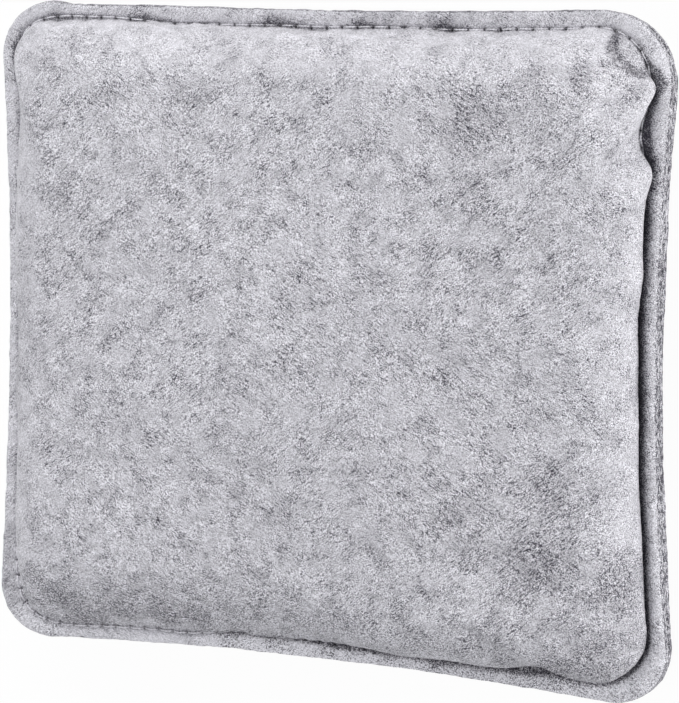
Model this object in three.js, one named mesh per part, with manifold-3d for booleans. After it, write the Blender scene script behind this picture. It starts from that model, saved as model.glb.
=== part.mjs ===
// Needle felting pad: two crowned felt covers over a foam slab, closed by one row of lockstitch.
// Millimetres, +Z up. The pad lies on its back: +X and +Y run across the face, and the origin is the
// middle of the flat that it rests on.
import * as THREE from 'three';
import { mergeGeometries, mergeVertices } from 'three/addons/utils/BufferGeometryUtils.js';
import Module from 'manifold-3d';

const wasm = await Module();
wasm.setup();

// Driving dimensions of the cut felt
const padWidth = 210;
const padDepth = 200;
const cornerRadius = 18;
const sideDrawIn = 2.5;
const feltThickness = 2;
const seamAllowance = 4.8;
const edgeSoftness = 0.4;

// Driving dimensions of the crown, measured from the seam plane
const crownHeight = 20;
const domeRise = 2;
const shoulderRun = 18;
const shoulderCornerRadius = 26;
const shoulderDrawIn = 1.2;
const restCut = 0.5;

// Driving dimensions of the seam
const stitchLength = 4.7;
const threadDiameter = 0.5;
const threadClearance = 0.1;
const grooveDepth = 0.6;
const grooveSlope = 0.5;
const grooveMargin = 0.25;

// Gap between the foam and the felt around it
const foamClearance = 0.3;

// Facets of the lofts
const cornerSteps = 6;
const sideSteps = 4;
const wallSteps = 5;
const threadSides = 3;

// Sizes that follow from the ones above
const seamHeight = crownHeight - restCut;
const grooveFloor = feltThickness - grooveDepth;
const threadRadius = threadDiameter / 2;
const lockOffset = threadDiameter + threadClearance;
const holeReach = lockOffset + Math.SQRT2 * (threadRadius + threadClearance);
const grooveHalf = holeReach + grooveMargin;
const wallInset = seamAllowance + grooveHalf;
const shoulderInset = wallInset + shoulderRun;
const shoulderHeight = crownHeight - domeRise;
const restScale = Math.sqrt(restCut / domeRise);
const domeScales = [restScale, (1 + restScale) / 2];
const threadLift = grooveFloor + threadRadius + threadClearance;

// One closed outline of the pad, counter-clockwise: four round corners joined by sides that bow inward.
// The same corner centres and draw-in at another inset give a line parallel to the first.
function padOutline(inset, radius, drawIn) {
  const cornerX = padWidth / 2 - inset - radius;
  const cornerY = padDepth / 2 - inset - radius;
  const leanX = 2 * Math.atan(drawIn / cornerY);
  const leanY = 2 * Math.atan(drawIn / cornerX);
  const corners = [
    { x: cornerX, y: cornerY, before: leanX, after: leanY, halfSide: cornerY },
    { x: -cornerX, y: cornerY, before: leanY, after: leanX, halfSide: cornerX },
    { x: -cornerX, y: -cornerY, before: leanX, after: leanY, halfSide: cornerY },
    { x: cornerX, y: -cornerY, before: leanY, after: leanX, halfSide: cornerX },
  ];
  const outline = new THREE.CurvePath();
  corners.forEach((corner, quarter) => {
    const turn = quarter * Math.PI / 2;
    const reach = corner.halfSide / Math.sin(corner.before);
    const sideRadius = reach - radius;
    const outward = new THREE.Vector2(reach * Math.cos(corner.before), -corner.halfSide);
    outward.rotateAround(new THREE.Vector2(), turn);
    outline.add(new THREE.EllipseCurve(
      corner.x + outward.x, corner.y + outward.y, sideRadius, sideRadius,
      turn + Math.PI + corner.before, turn + Math.PI - corner.before, true,
    ));
    outline.add(new THREE.EllipseCurve(
      corner.x, corner.y, radius, radius,
      turn - corner.before, turn + Math.PI / 2 + corner.after, false,
    ));
  });
  return outline;
}

// The outline as points, the same number on every loop, so that loops can be lofted
function loopPoints(outline) {
  return outline.curves.flatMap((curve, index) => {
    const steps = index % 2 === 0 ? sideSteps : cornerSteps;
    return curve.getPoints(steps).slice(0, -1);
  });
}

// A loop of the flat edge, parallel to the cut edge
function edgeLoop(inset, height) {
  const outline = padOutline(inset, cornerRadius - inset, sideDrawIn);
  return loopPoints(outline).map((point) => new THREE.Vector3(point.x, point.y, height));
}

// A loop of the crown: the corners open out and the sides straighten from the seam up to the shoulder
function crownLoop(inset, height, scale = 1) {
  const climb = (inset - wallInset) / shoulderRun;
  const radius = THREE.MathUtils.lerp(cornerRadius - wallInset, shoulderCornerRadius, climb);
  const drawIn = THREE.MathUtils.lerp(sideDrawIn, shoulderDrawIn, climb);
  const points = loopPoints(padOutline(inset, radius, drawIn));
  return points.map((point) => new THREE.Vector3(point.x * scale, point.y * scale, height));
}

// Height of the gentle dome inside the shoulder, cut flat where a panel rests
function domeHeight(scale, flatCut) {
  return crownHeight - Math.max(domeRise * scale * scale, flatCut);
}

// Loops from the middle of the dome out to the shoulder and down the wall, sunk below the outer face.
// The wall is a quarter of an ellipse that stands upright where it meets its foot.
function crownLoops(sink, foot, flatCut) {
  const top = shoulderHeight - sink;
  const run = shoulderRun - sink;
  const dome = domeScales.map((scale) => crownLoop(shoulderInset, domeHeight(scale, flatCut) - sink, scale));
  const wall = [];
  for (let step = 0; step <= wallSteps; step += 1) {
    const angle = (Math.PI / 2) * (1 - step / wallSteps);
    const inset = shoulderInset - run * Math.cos(angle);
    const height = foot + (top - foot) * Math.sin(angle);
    wall.push(crownLoop(inset, height));
  }
  return [...dome, ...wall];
}

// A closed skin over loops that start and end in a point on the axis
function loft(loops, startHeight, endHeight) {
  const count = loops[0].length;
  const points = [new THREE.Vector3(0, 0, startHeight), ...loops.flat(), new THREE.Vector3(0, 0, endHeight)];
  const last = points.length - 1;
  const faces = [];
  const at = (loop, index) => 1 + loop * count + (index % count);
  for (let index = 0; index < count; index += 1) {
    faces.push(0, at(0, index), at(0, index + 1));
    for (let loop = 0; loop + 1 < loops.length; loop += 1) {
      faces.push(at(loop, index), at(loop + 1, index), at(loop + 1, index + 1));
      faces.push(at(loop, index), at(loop + 1, index + 1), at(loop, index + 1));
    }
    faces.push(at(loops.length - 1, index + 1), at(loops.length - 1, index), last);
  }
  const geometry = new THREE.BufferGeometry().setFromPoints(points);
  geometry.setIndex(faces);
  return geometry;
}

// Turns a skin over, so that what faced up faces down
function turnedOver(geometry) {
  const faces = Array.from(geometry.index.array);
  for (let face = 0; face < faces.length; face += 3) {
    [faces[face], faces[face + 1]] = [faces[face + 1], faces[face]];
  }
  geometry.scale(1, 1, -1);
  geometry.setIndex(faces);
  return geometry;
}

function toManifold(geometry) {
  const vertProperties = new Float32Array(geometry.attributes.position.array);
  const triVerts = new Uint32Array(geometry.index.array);
  return new wasm.Manifold(new wasm.Mesh({ numProp: 3, vertProperties, triVerts }));
}

function toGeometry(manifold) {
  const mesh = manifold.getMesh();
  const geometry = new THREE.BufferGeometry();
  geometry.setAttribute('position', new THREE.BufferAttribute(new Float32Array(mesh.vertProperties), 3));
  geometry.setIndex(Array.from(mesh.triVerts));
  return geometry;
}

// One felt cover, built face up about the seam plane: dome, wall, pinched groove, flat edge, cut edge,
// then back along the underside and up inside the crown at one felt thickness
function panelSkin(flatCut) {
  const loops = [
    ...crownLoops(0, grooveFloor, flatCut),
    edgeLoop(seamAllowance - grooveHalf, grooveFloor),
    edgeLoop(seamAllowance - grooveHalf - grooveSlope, feltThickness),
    edgeLoop(edgeSoftness, feltThickness),
    edgeLoop(0, feltThickness - edgeSoftness),
    edgeLoop(0, 0),
    ...crownLoops(feltThickness, 0, flatCut).reverse(),
  ];
  return loft(loops, domeHeight(0, flatCut), domeHeight(0, flatCut) - feltThickness);
}

// The filling: both crowns less the felt and a gap, meeting at the seam plane
function foamSkin() {
  const sink = feltThickness + foamClearance;
  const upper = crownLoops(sink, 0, 0);
  const lower = crownLoops(sink, 0, restCut).slice(0, -1).reverse();
  const flipped = lower.map((loop) => loop.map((point) => point.setZ(-point.z)));
  return loft([...upper, ...flipped], domeHeight(0, 0) - sink, sink - domeHeight(0, restCut));
}

// Where the needle went through: evenly spaced along the seam line, each with its own directions
function needlePoints() {
  const seam = padOutline(seamAllowance, cornerRadius - seamAllowance, sideDrawIn);
  const count = Math.round(seam.getLength() / stitchLength);
  return Array.from({ length: count }, (_, index) => {
    const point = seam.getPointAt(index / count);
    const along = seam.getTangentAt(index / count);
    return {
      centre: new THREE.Vector3(point.x, point.y, 0),
      along: new THREE.Vector3(along.x, along.y, 0),
      inward: new THREE.Vector3(-along.y, along.x, 0),
    };
  });
}

// Square holes set cornerwise on the seam, through both plies
function needleHoles(stitches) {
  const square = new THREE.Shape([
    new THREE.Vector2(holeReach, 0),
    new THREE.Vector2(0, holeReach),
    new THREE.Vector2(-holeReach, 0),
    new THREE.Vector2(0, -holeReach),
  ]);
  const depth = 4 * feltThickness;
  const holes = stitches.map((stitch) => {
    const hole = new THREE.ExtrudeGeometry(square, { depth, bevelEnabled: false });
    const upward = new THREE.Vector3(0, 0, 1);
    const place = new THREE.Matrix4().makeBasis(stitch.along, stitch.inward, upward);
    place.setPosition(stitch.centre.x, stitch.centre.y, -depth / 2);
    return hole.applyMatrix4(place);
  });
  const merged = mergeGeometries(holes);
  merged.deleteAttribute('normal');
  merged.deleteAttribute('uv');
  return mergeVertices(merged);
}

// The lockstitch. At every hole the needle thread dips in a loop along the seam, and the bobbin thread
// rises in a loop across it, so that each loop goes through the other between the two plies.
function threadPath(stitches, side) {
  return stitches.flatMap((stitch) => {
    const across = side > 0 ? stitch.along : stitch.inward;
    const near = stitch.centre.clone().addScaledVector(across, -lockOffset);
    const far = stitch.centre.clone().addScaledVector(across, lockOffset);
    const outside = side * threadLift;
    const lock = -side * lockOffset / 2;
    return [
      near.clone().setZ(outside),
      near.clone().setZ(lock),
      far.clone().setZ(lock),
      far.clone().setZ(outside),
    ];
  });
}

// Slides a section along its span until it lies in the plane that halves the next bend
function slideToBend(section, direction, corner, bendNormal) {
  return section.map((point) => {
    const distance = corner.clone().sub(point).dot(bendNormal) / direction.dot(bendNormal);
    return point.clone().addScaledVector(direction, distance);
  });
}

// A closed thread along a closed path of straight spans, mitred at every bend
function sweptThread(path) {
  const count = path.length;
  const next = (index) => (index + 1) % count;
  const spans = path.map((point, index) => path[next(index)].clone().sub(point).normalize());
  const bends = path.map((_, index) => spans[(index + count - 1) % count].clone().add(spans[index]).normalize());
  const sideways = new THREE.Vector3(-spans[count - 1].y, spans[count - 1].x, 0).normalize();
  const upward = new THREE.Vector3().crossVectors(spans[count - 1], sideways);
  let section = Array.from({ length: threadSides }, (_, corner) => {
    const angle = Math.PI / 2 + corner * 2 * Math.PI / threadSides;
    const point = path[0].clone().addScaledVector(sideways, threadRadius * Math.cos(angle));
    return point.addScaledVector(upward, threadRadius * Math.sin(angle));
  });
  section = slideToBend(section, spans[count - 1], path[0], bends[0]);
  const rings = [section];
  for (let index = 0; index + 1 < count; index += 1) {
    section = slideToBend(section, spans[index], path[index + 1], bends[index + 1]);
    rings.push(section);
  }

  // The last span closes on the first ring, turned by whole sides to where it fits with least twist
  const arriving = slideToBend(section, spans[count - 1], path[0], bends[0]);
  const twist = (shift) => arriving.reduce(
    (sum, point, corner) => sum + point.distanceTo(rings[0][(corner + shift) % threadSides]), 0);
  const shifts = Array.from({ length: threadSides }, (_, shift) => shift);
  const closing = shifts.reduce((best, shift) => (twist(shift) < twist(best) ? shift : best));

  const faces = [];
  rings.forEach((ring, index) => {
    const shift = next(index) === 0 ? closing : 0;
    for (let corner = 0; corner < threadSides; corner += 1) {
      const following = (corner + 1) % threadSides;
      const here = index * threadSides + corner;
      const beside = index * threadSides + following;
      const ahead = next(index) * threadSides + (corner + shift) % threadSides;
      const opposite = next(index) * threadSides + (following + shift) % threadSides;
      faces.push(here, beside, opposite, here, opposite, ahead);
    }
  });
  const geometry = new THREE.BufferGeometry().setFromPoints(rings.flat());
  geometry.setIndex(faces);
  return geometry;
}

const heatherFelt = { color: 0xc4c3c9, roughness: 0.95, metalness: 0 };
const paleThread = { color: 0xdedde0, roughness: 0.7, metalness: 0 };
const creamFoam = { color: 0xe6dfcc, roughness: 0.9, metalness: 0 };

function piece(name, geometry, finish) {
  geometry.computeVertexNormals();
  const mesh = new THREE.Mesh(geometry, new THREE.MeshStandardMaterial(finish));
  mesh.name = name;
  return mesh;
}

const stitches = needlePoints();
const holes = toManifold(needleHoles(stitches));
const frontPanel = toManifold(panelSkin(0)).subtract(holes);
const backPanel = toManifold(turnedOver(panelSkin(restCut))).subtract(holes);

const pad = new THREE.Group();
pad.position.z = seamHeight;
pad.add(
  piece('front_panel', toGeometry(frontPanel), heatherFelt),
  piece('back_panel', toGeometry(backPanel), heatherFelt),
  piece('foam_core', foamSkin(), creamFoam),
  piece('needle_thread', sweptThread(threadPath(stitches, 1)), paleThread),
  piece('bobbin_thread', sweptThread(threadPath(stitches, -1)), paleThread),
);

export default pad;
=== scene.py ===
# Needle felting pad, dressed for rendering: two sewn felt covers, the foam slab between them and the two
# threads of the lockstitch that closes them. Metres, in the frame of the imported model. The pad lies on its
# back: +X and +Y run across the face, +Z points out of it.
import math

import bpy
import numpy as np
from mathutils import Matrix, Vector, noise


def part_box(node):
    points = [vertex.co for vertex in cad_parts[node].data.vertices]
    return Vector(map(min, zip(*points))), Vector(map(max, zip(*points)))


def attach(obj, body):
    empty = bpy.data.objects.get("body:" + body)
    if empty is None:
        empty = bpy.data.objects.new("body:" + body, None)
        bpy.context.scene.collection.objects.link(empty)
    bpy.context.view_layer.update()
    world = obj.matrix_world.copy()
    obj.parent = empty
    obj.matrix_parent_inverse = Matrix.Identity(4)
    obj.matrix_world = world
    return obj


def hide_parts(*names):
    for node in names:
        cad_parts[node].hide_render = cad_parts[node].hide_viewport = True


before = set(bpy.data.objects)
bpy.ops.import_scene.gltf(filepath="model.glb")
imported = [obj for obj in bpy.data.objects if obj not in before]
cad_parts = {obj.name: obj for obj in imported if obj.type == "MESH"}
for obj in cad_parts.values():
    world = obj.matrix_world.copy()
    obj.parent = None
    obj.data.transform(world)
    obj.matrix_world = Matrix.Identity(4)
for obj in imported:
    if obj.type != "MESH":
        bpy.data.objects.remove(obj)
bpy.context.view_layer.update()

MM = 0.001

# Sizes read from the frame
front_low, front_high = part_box("front_panel")
HALF_WIDTH = (front_high.x - front_low.x) / 2
HALF_DEPTH = (front_high.y - front_low.y) / 2
SEAM_HEIGHT = front_low.z
CROWN_HEIGHT = front_high.z - front_low.z

# The felt and its sewn edge. Neither the groove along the seam nor the felt under it is below the thinnest.
FELT = 2.0 * MM
EDGE_ROUND = 0.45 * MM
SEAM_ALLOWANCE = 4.8 * MM
STITCH_LENGTH = 4.7 * MM
HOLE_HALF = 0.4 * MM
HOLE_TIGHTNESS = 0.7
THINNEST = 0.35 * MM

# The crown, measured from the seam plane
DOME_RISE = 2.0 * MM
SHOULDER_RUN = 18.0 * MM
SHOULDER_RADIUS = 26.0 * MM
SHOULDER_INSET = SEAM_ALLOWANCE + HOLE_HALF + SHOULDER_RUN
FOAM_CLEARANCE = 0.4 * MM

# The threads: two strands each, twisted along a path with rounded bends
THREAD_RADIUS = 0.25 * MM
LOCK_OFFSET = 0.25 * MM
TWIST_LENGTH = 2.0 * MM
STRANDS = 2
STRAND_SIDES = 5
STRAND_OFFSET = 0.5 * THREAD_RADIUS
STRAND_RADIUS = 0.58 * THREAD_RADIUS
PATH_ROUNDS = 3
PATH_SPACING = 0.4 * MM

# The outline in quarters, counter-clockwise from the right side: each is a side and the corner after it.
# Values by side run in that order: right, top, left, bottom. A place round the pad counts sides and corners.
RIGHT, TOP, LEFT, BOTTOM = range(4)
FULL_ROUND = 8
CORNER_RADII = np.array([23.3, 18.7, 19.3, 19.2]) * MM
CORNER_SIGNS = np.array([[1, 1], [-1, 1], [-1, -1], [1, -1]])
CORNER_SHIFTS = np.array([[-1.7, -0.4], [1.6, -1.4], [-1.5, 2.3], [1.6, 0.6]]) * MM
SIDE_DRAW_IN = np.array([5.6, 2.2, 3.5, 4.5]) * MM
BLEND_START = 0.6

# The wall above the seam: how far it runs in, and how far it leans out, as an angle from upright
SIDE_RUN = np.array([18, 17, 18, 27]) * MM
SIDE_LEAN = np.radians([27, -17, 3, -38])
SIDE_LEAN_NOISE = np.radians([3, 8, 8, 6])
MOST_LEAN = math.radians(29)

# The sewn edge: its seam and the groove along that, and how the edge swells, tilts, gapes and is cut aslant
SIDE_SEAM_INSET = np.array([6.5, 4.8, 4.8, 5.0]) * MM
SIDE_GROOVE_DEPTH = np.array([1.6, 0.5, 0.7, 0.8]) * MM
SIDE_GROOVE_SPREAD = np.array([1.9, 0.55, 0.75, 1.0]) * MM
SIDE_PUFF = np.array([0.6, 0.2, 0.2, 0.3]) * MM
SIDE_TILT = np.array([-0.18, 0.0, -0.05, 0.0])
SIDE_FLARE = np.array([0.45, 0.15, 0.1, 0.25]) * MM
SIDE_BEVEL = np.array([0.75, 0.1, 0.1, 0.2]) * MM
LEAST_FLARE = 0.04 * MM
LOBE_SWELL = 0.9 * MM

# The cut edge strays in waves: how long, how far and their seed. At the notch it is cut short.
EDGE_WAVES = ((7 * MM, 0.25 * MM, 6), (2.2 * MM, 0.16 * MM, 9))
NOTCH_DEPTH = 0.7 * MM

# Looks of the felt along the seam. The painted shade in its crease: how strong it is, how far it holds over
# the sewn edge, and how far it fades from there and up the wall. How much lighter the sewn edge is painted.
# How fibres show.
SIDE_CREASE_DEPTH = np.array([1.0, 0.4, 0.24, 0.8])
SIDE_CREASE_HOLD = np.array([1.3, 0.0, 1.7, 0.8]) * MM
SIDE_CREASE = np.array([2.2, 0.35, 0.6, 1.0]) * MM
SIDE_WALL_CREASE = np.array([4.8, 0.35, 0.45, 1.8]) * MM
LEAST_CREASE = 0.3 * MM
SIDE_PAINTED_EDGE_LIGHT = np.array([0.05, -0.02, 0.04, 0.22])
SIDE_NAP = np.array([0.90, 0.68, 0.75, 1.6])

# Rows and columns of the felt meshes. A needle hole reaches that many columns to either side of its middle,
# and a ring of the dome drops every other column where they crowd.
OUTLINE_SAMPLES = 4001
COLUMNS_PER_STITCH = 8
HOLE_COLUMNS = 1
SEAM_STEPS = (-1, 0, 1)
EDGE_ROWS = 5
EDGE_ROUND_ANGLES = np.radians((30, 60, 90))
FLANGE_ROWS = 9
WALL_ROWS = 36
FINE_WALL_ROWS = 12
DOME_RINGS = 56
DOME_CROWDING = 1.2
INNER_STRIDE = 4
FIRST_SEAM_ROW = EDGE_ROWS + len(EDGE_ROUND_ANGLES) + FLANGE_ROWS
FIRST_WALL_ROW = FIRST_SEAM_ROW + len(SEAM_STEPS)
INNER_FOOT_ROW = FIRST_WALL_ROW + 2
INNER_LOWEST = 0.4 * MM

# How far a seed moves a noise, along each axis
SEED_STEP = (7.31, 3.17, 5.73)


def soft_noise(points, size, seed):
    """Smooth noise of about -0.5 to 0.5 over points, with lumps of that size. The seed moves the pattern."""
    shift = Vector([seed * step for step in SEED_STEP])
    return np.array([noise.noise(Vector(point) + shift) for point in points / size])


def smooth_step(low, high, value):
    share = np.clip((value - low) / (high - low), 0, 1)
    return share * share * (3 - 2 * share)


def bump(value, middle, half):
    """1 at the middle, easing to 0 at half a width to either side, both given in millimetres."""
    return smooth_step(half * MM, 0, np.abs(value - middle * MM))


def stretch(value, start, whole_from, whole_to, end):
    """1 between the inner two places, easing to 0 at the outer two, all given in millimetres."""
    return smooth_step(start * MM, whole_from * MM, value) * smooth_step(end * MM, whole_to * MM, value)


def hand_sewn(x, y):
    """Moves points of the plain outline to where the hand-cut pad has them: sides in, corners shifted."""
    u = x / HALF_WIDTH
    v = y / HALF_DEPTH
    shift_x = (SIDE_DRAW_IN[LEFT] * np.maximum(-u, 0) - SIDE_DRAW_IN[RIGHT] * np.maximum(u, 0)) * (1 - v * v)
    shift_y = (SIDE_DRAW_IN[BOTTOM] * np.maximum(-v, 0) - SIDE_DRAW_IN[TOP] * np.maximum(v, 0)) * (1 - u * u)
    for (sign_x, sign_y), (move_x, move_y) in zip(CORNER_SIGNS, CORNER_SHIFTS):
        share = (1 + sign_x * u) * (1 + sign_y * v) / 4
        shift_x = shift_x + move_x * share
        shift_y = shift_y + move_y * share
    return x + shift_x, y + shift_y


def loop(place, inset, climb=0.0):
    """Points of a loop round the pad. place counts sides and corners, inset is from the cut edge, and climb
    opens the corners out, from 0 at the seam to 1 at the shoulder."""
    quarter = (place // 2).astype(int) % 4
    along_side = np.minimum(place % 2, 1)
    angle = np.maximum(place % 2 - 1, 0) * math.pi / 2
    opening = climb * (SHOULDER_RADIUS + SHOULDER_INSET - CORNER_RADII[:, None])
    radii = CORNER_RADII[:, None] - inset + opening
    column = np.arange(len(place))
    before = radii[(quarter - 1) % 4, column]
    after = radii[quarter, column]
    upright = quarter % 2 == 0
    half_out = np.where(upright, HALF_WIDTH, HALF_DEPTH) - inset
    half_along = np.where(upright, HALF_DEPTH, HALF_WIDTH) - inset
    start = before - half_along
    out = half_out - after * (1 - np.cos(angle))
    along = start + along_side * (half_along - after - start) + after * np.sin(angle)
    turn = quarter * math.pi / 2
    return hand_sewn(out * np.cos(turn) - along * np.sin(turn), out * np.sin(turn) + along * np.cos(turn))


def even_places():
    """Places spaced evenly along the seam, the same number for each of a whole number of stitches."""
    dense = np.linspace(0, FULL_ROUND, OUTLINE_SAMPLES)
    x, y = loop(dense, np.full(len(dense), SEAM_ALLOWANCE))
    travelled = np.concatenate([[0], np.cumsum(np.hypot(np.diff(x), np.diff(y)))])
    stitches = round(travelled[-1] / STITCH_LENGTH)
    steps = np.arange(stitches * COLUMNS_PER_STITCH) / (stitches * COLUMNS_PER_STITCH)
    return np.interp(steps * travelled[-1], travelled, dense)


PLACES = even_places()
COLUMNS = len(PLACES)
EVERY_COLUMN = np.arange(COLUMNS)


def place_at(column):
    """The place of a column number that may lie between two columns or past the ends."""
    known = np.arange(-COLUMNS, 2 * COLUMNS)
    return np.interp(column, known, np.concatenate([PLACES - FULL_ROUND, PLACES, PLACES + FULL_ROUND]))


def by_side(values):
    """A value for each column from one per side, a number or an array, blended round the corners."""
    spread = np.stack([np.broadcast_to(value, COLUMNS) for value in values])
    quarter = (PLACES // 2).astype(int) % 4
    share = smooth_step(BLEND_START, 2.0, PLACES % 2)
    return spread[quarter, EVERY_COLUMN] * (1 - share) + spread[(quarter + 1) % 4, EVERY_COLUMN] * share


# The seam on the plain outline, and where it runs along each side
seam_x, seam_y = loop(PLACES, np.full(COLUMNS, SEAM_ALLOWANCE))
SEAM_POINTS = np.stack([seam_x, seam_y, np.zeros(COLUMNS)], 1)


def far_out(out):
    """1 where the seam runs along one side. out is how far it lies from the middle, 1 at the cut edge."""
    return smooth_step(0.75, 0.85, out)


def near_corner(sign_x, sign_y, far, near):
    """1 near a corner of the pad's box, easing to 0 far from it, both distances in millimetres."""
    distance = np.hypot(seam_x - sign_x * HALF_WIDTH, seam_y - sign_y * HALF_DEPTH)
    return smooth_step(far * MM, near * MM, distance)


ON_RIGHT = far_out(seam_x / HALF_WIDTH)
ON_LEFT = far_out(-seam_x / HALF_WIDTH)
ON_TOP = far_out(seam_y / HALF_DEPTH)
ON_BOTTOM = far_out(-seam_y / HALF_DEPTH)

# Stretches of the seam where the pad differs: 1 there, 0 elsewhere. High on the right side the wall has a
# pocket with a bulge above and one below, and the sewn edge has a lobe in front of it.
POCKET = bump(seam_y, 64.5, 8) * ON_RIGHT
UPPER_BULGE = bump(seam_y, 79, 5.5) * ON_RIGHT
LOWER_BULGE = bump(seam_y, 55, 9) * ON_RIGHT
LOBE = bump(seam_y, 65.5, 10) * ON_RIGHT

# The tuck in the upper right corner, the other corners, and the right side down to its lower corner
TUCKED_CORNER = np.array([91.0, 87.3]) * MM
BY_TUCK = smooth_step(15 * MM, 4 * MM, np.linalg.norm(SEAM_POINTS[:, :2] - TUCKED_CORNER, axis=1))
UPPER_LEFT = near_corner(-1, 1, 50, 18) * ON_LEFT
LOWER_LEFT = near_corner(-1, -1, 50, 18)
LOWER_RIGHT = near_corner(1, -1, 45, 18)
LOWER_RIGHT_BEND = near_corner(1, -1, 26, 12)
RIGHT_LOW = smooth_step(-25 * MM, -80 * MM, seam_y) * ON_RIGHT
RIGHT_LOW_SIDE = stretch(seam_y, -94, -86, -80, -25) * ON_RIGHT

# At the bottom the stitches show on the left and are sunk in the felt on the right, and the wall has a dent
STITCHES_SHOWN = stretch(seam_x, -92, -80, -45, -25) * ON_BOTTOM
STITCHES_SUNK = smooth_step(-35 * MM, -15 * MM, seam_x) * ON_BOTTOM
BOTTOM_DENT = bump(seam_x, 70, 11) * ON_BOTTOM

# Where the top is cut short, and the pull of the thread, 1 at the needle holes and -1 midway between them
NOTCH = stretch(seam_x, -87, -81, -80, -45) * ON_TOP
PULL = np.cos(2 * math.pi * EVERY_COLUMN / COLUMNS_PER_STITCH)

# The wall in each column. The bottom wall slopes gently on the left and hangs over the seam on the right.
OVERHUNG = smooth_step(-35 * MM, 25 * MM, seam_x)
BOTTOM_RUN = SIDE_RUN[BOTTOM] - 8 * MM * OVERHUNG
BOTTOM_LEAN = SIDE_LEAN[BOTTOM] + math.radians(43) * OVERHUNG
SHOULDER = SEAM_ALLOWANCE + HOLE_HALF + by_side([*SIDE_RUN[:BOTTOM], BOTTOM_RUN])
LEAN = by_side([*SIDE_LEAN[:BOTTOM], BOTTOM_LEAN])
LEAN += by_side(SIDE_LEAN_NOISE) * soft_noise(SEAM_POINTS, 22 * MM, 1)
LEAN += math.radians(4) * bump(seam_y, -10, 80) * ON_LEFT
LEAN = np.minimum(LEAN, MOST_LEAN)
LEAN += np.radians(22 * UPPER_BULGE + 11 * LOWER_BULGE - 24 * POCKET)
LEAN -= np.radians(20 * BOTTOM_DENT + 22 * LOWER_LEFT)
BACK_LEAN = math.radians(6) * soft_noise(SEAM_POINTS, 22 * MM, 8)

# The sewn edge in each column
TILT = by_side(SIDE_TILT) + 0.12 * soft_noise(SEAM_POINTS, 30 * MM, 2)
FLARE = by_side(SIDE_FLARE) + 0.3 * MM * soft_noise(SEAM_POINTS, 18 * MM, 3) + 0.3 * MM * BY_TUCK
FLARE = np.maximum(FLARE, LEAST_FLARE)
BEVEL = np.maximum(by_side(SIDE_BEVEL) - (0.2 * BY_TUCK + 0.35 * LOWER_RIGHT) * MM, 0)
PUFF = by_side(SIDE_PUFF)

# The seam in each column: its distance from the cut edge and its groove
SEAM_INSET = by_side(SIDE_SEAM_INSET) + 0.7 * MM * soft_noise(SEAM_POINTS, 24 * MM, 4)
SEAM_INSET += (1.5 * LOBE + 0.3 * BY_TUCK - 0.4 * RIGHT_LOW_SIDE + 1.9 * LOWER_RIGHT_BEND) * MM
SEAM_INSET += (0.8 * UPPER_LEFT - 1.0 * smooth_step(-40 * MM, -70 * MM, seam_x) * ON_TOP) * MM
SEAM_INSET += (0.8 * smooth_step(-5 * MM, -25 * MM, seam_x) * ON_BOTTOM - 1.35 * STITCHES_SHOWN) * MM
SEAM_INSET += (0.9 * bump(seam_x, -7, 14) + 0.8 * bump(seam_x, 70, 20)) * MM * ON_BOTTOM
GROOVE = by_side(SIDE_GROOVE_DEPTH) * (1 + 0.2 * PULL) + 0.3 * MM * soft_noise(SEAM_POINTS, 9 * MM, 5)
GROOVE = np.clip(GROOVE - 0.5 * MM * LOWER_LEFT, THINNEST, FELT - THINNEST)
GROOVE_SPREAD = by_side(SIDE_GROOVE_SPREAD) + 0.6 * MM * POCKET

# Where the painted shade along the top and the bottom seam is darker and wider: x and half width in
# millimetres, and how much. More along the top here and there.
TOP_DARK_PLACES = ((-85, 7, 0.4), (-57, 7, 0.7), (-14, 10, 1.0), (10, 6, 0.7), (35, 8, 0.9))
BOTTOM_DARK_PLACES = ((40, 14, 0.35), (62, 10, 0.15), (87, 9, 0.2))
DARKER_SEAM_SHADE = 0.5 * np.maximum(soft_noise(SEAM_POINTS, 11 * MM, 7), 0) * ON_TOP
for dark_places, on_that_side in ((TOP_DARK_PLACES, ON_TOP), (BOTTOM_DARK_PLACES, ON_BOTTOM)):
    for middle, half, strength in dark_places:
        DARKER_SEAM_SHADE += strength * bump(seam_x, middle, half) * on_that_side

# The painted shade along the seam in each column
CREASE_DEPTH = np.maximum(by_side(SIDE_CREASE_DEPTH) - 0.6 * LOWER_LEFT, 0) * (1 - 0.85 * STITCHES_SHOWN)
CREASE_DEPTH += (0.4 * bump(seam_y, 80, 9) - 0.12 * bump(seam_y, 45, 30)) * ON_LEFT
CREASE_DEPTH += 0.3 * DARKER_SEAM_SHADE + 0.65 * STITCHES_SHOWN * np.maximum(PULL, 0)
CREASE_HOLD = by_side([*SIDE_CREASE_HOLD[:BOTTOM], SIDE_CREASE_HOLD[BOTTOM] * OVERHUNG]) * (1 - BY_TUCK)
CREASE_HOLD += (1.3 * POCKET + 1.5 * LOWER_BULGE - 0.3 * RIGHT_LOW + 0.7 * LOWER_RIGHT) * MM
CREASE_HOLD += (3.4 * bump(seam_y, 80, 8) * ON_RIGHT + 0.5 * bump(seam_x, 87, 9) * ON_BOTTOM) * MM
CREASE = by_side(SIDE_CREASE) + (2.2 * DARKER_SEAM_SHADE - 1.7 * RIGHT_LOW - 0.8 * POCKET) * MM
CREASE = np.maximum(CREASE * (1 - 0.6 * BY_TUCK - 0.6 * STITCHES_SHOWN), LEAST_CREASE)
WALL_CREASE = by_side(SIDE_WALL_CREASE) * (1 - 0.7 * POCKET - 0.7 * STITCHES_SHOWN)
WALL_CREASE += 0.8 * MM * DARKER_SEAM_SHADE
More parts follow.
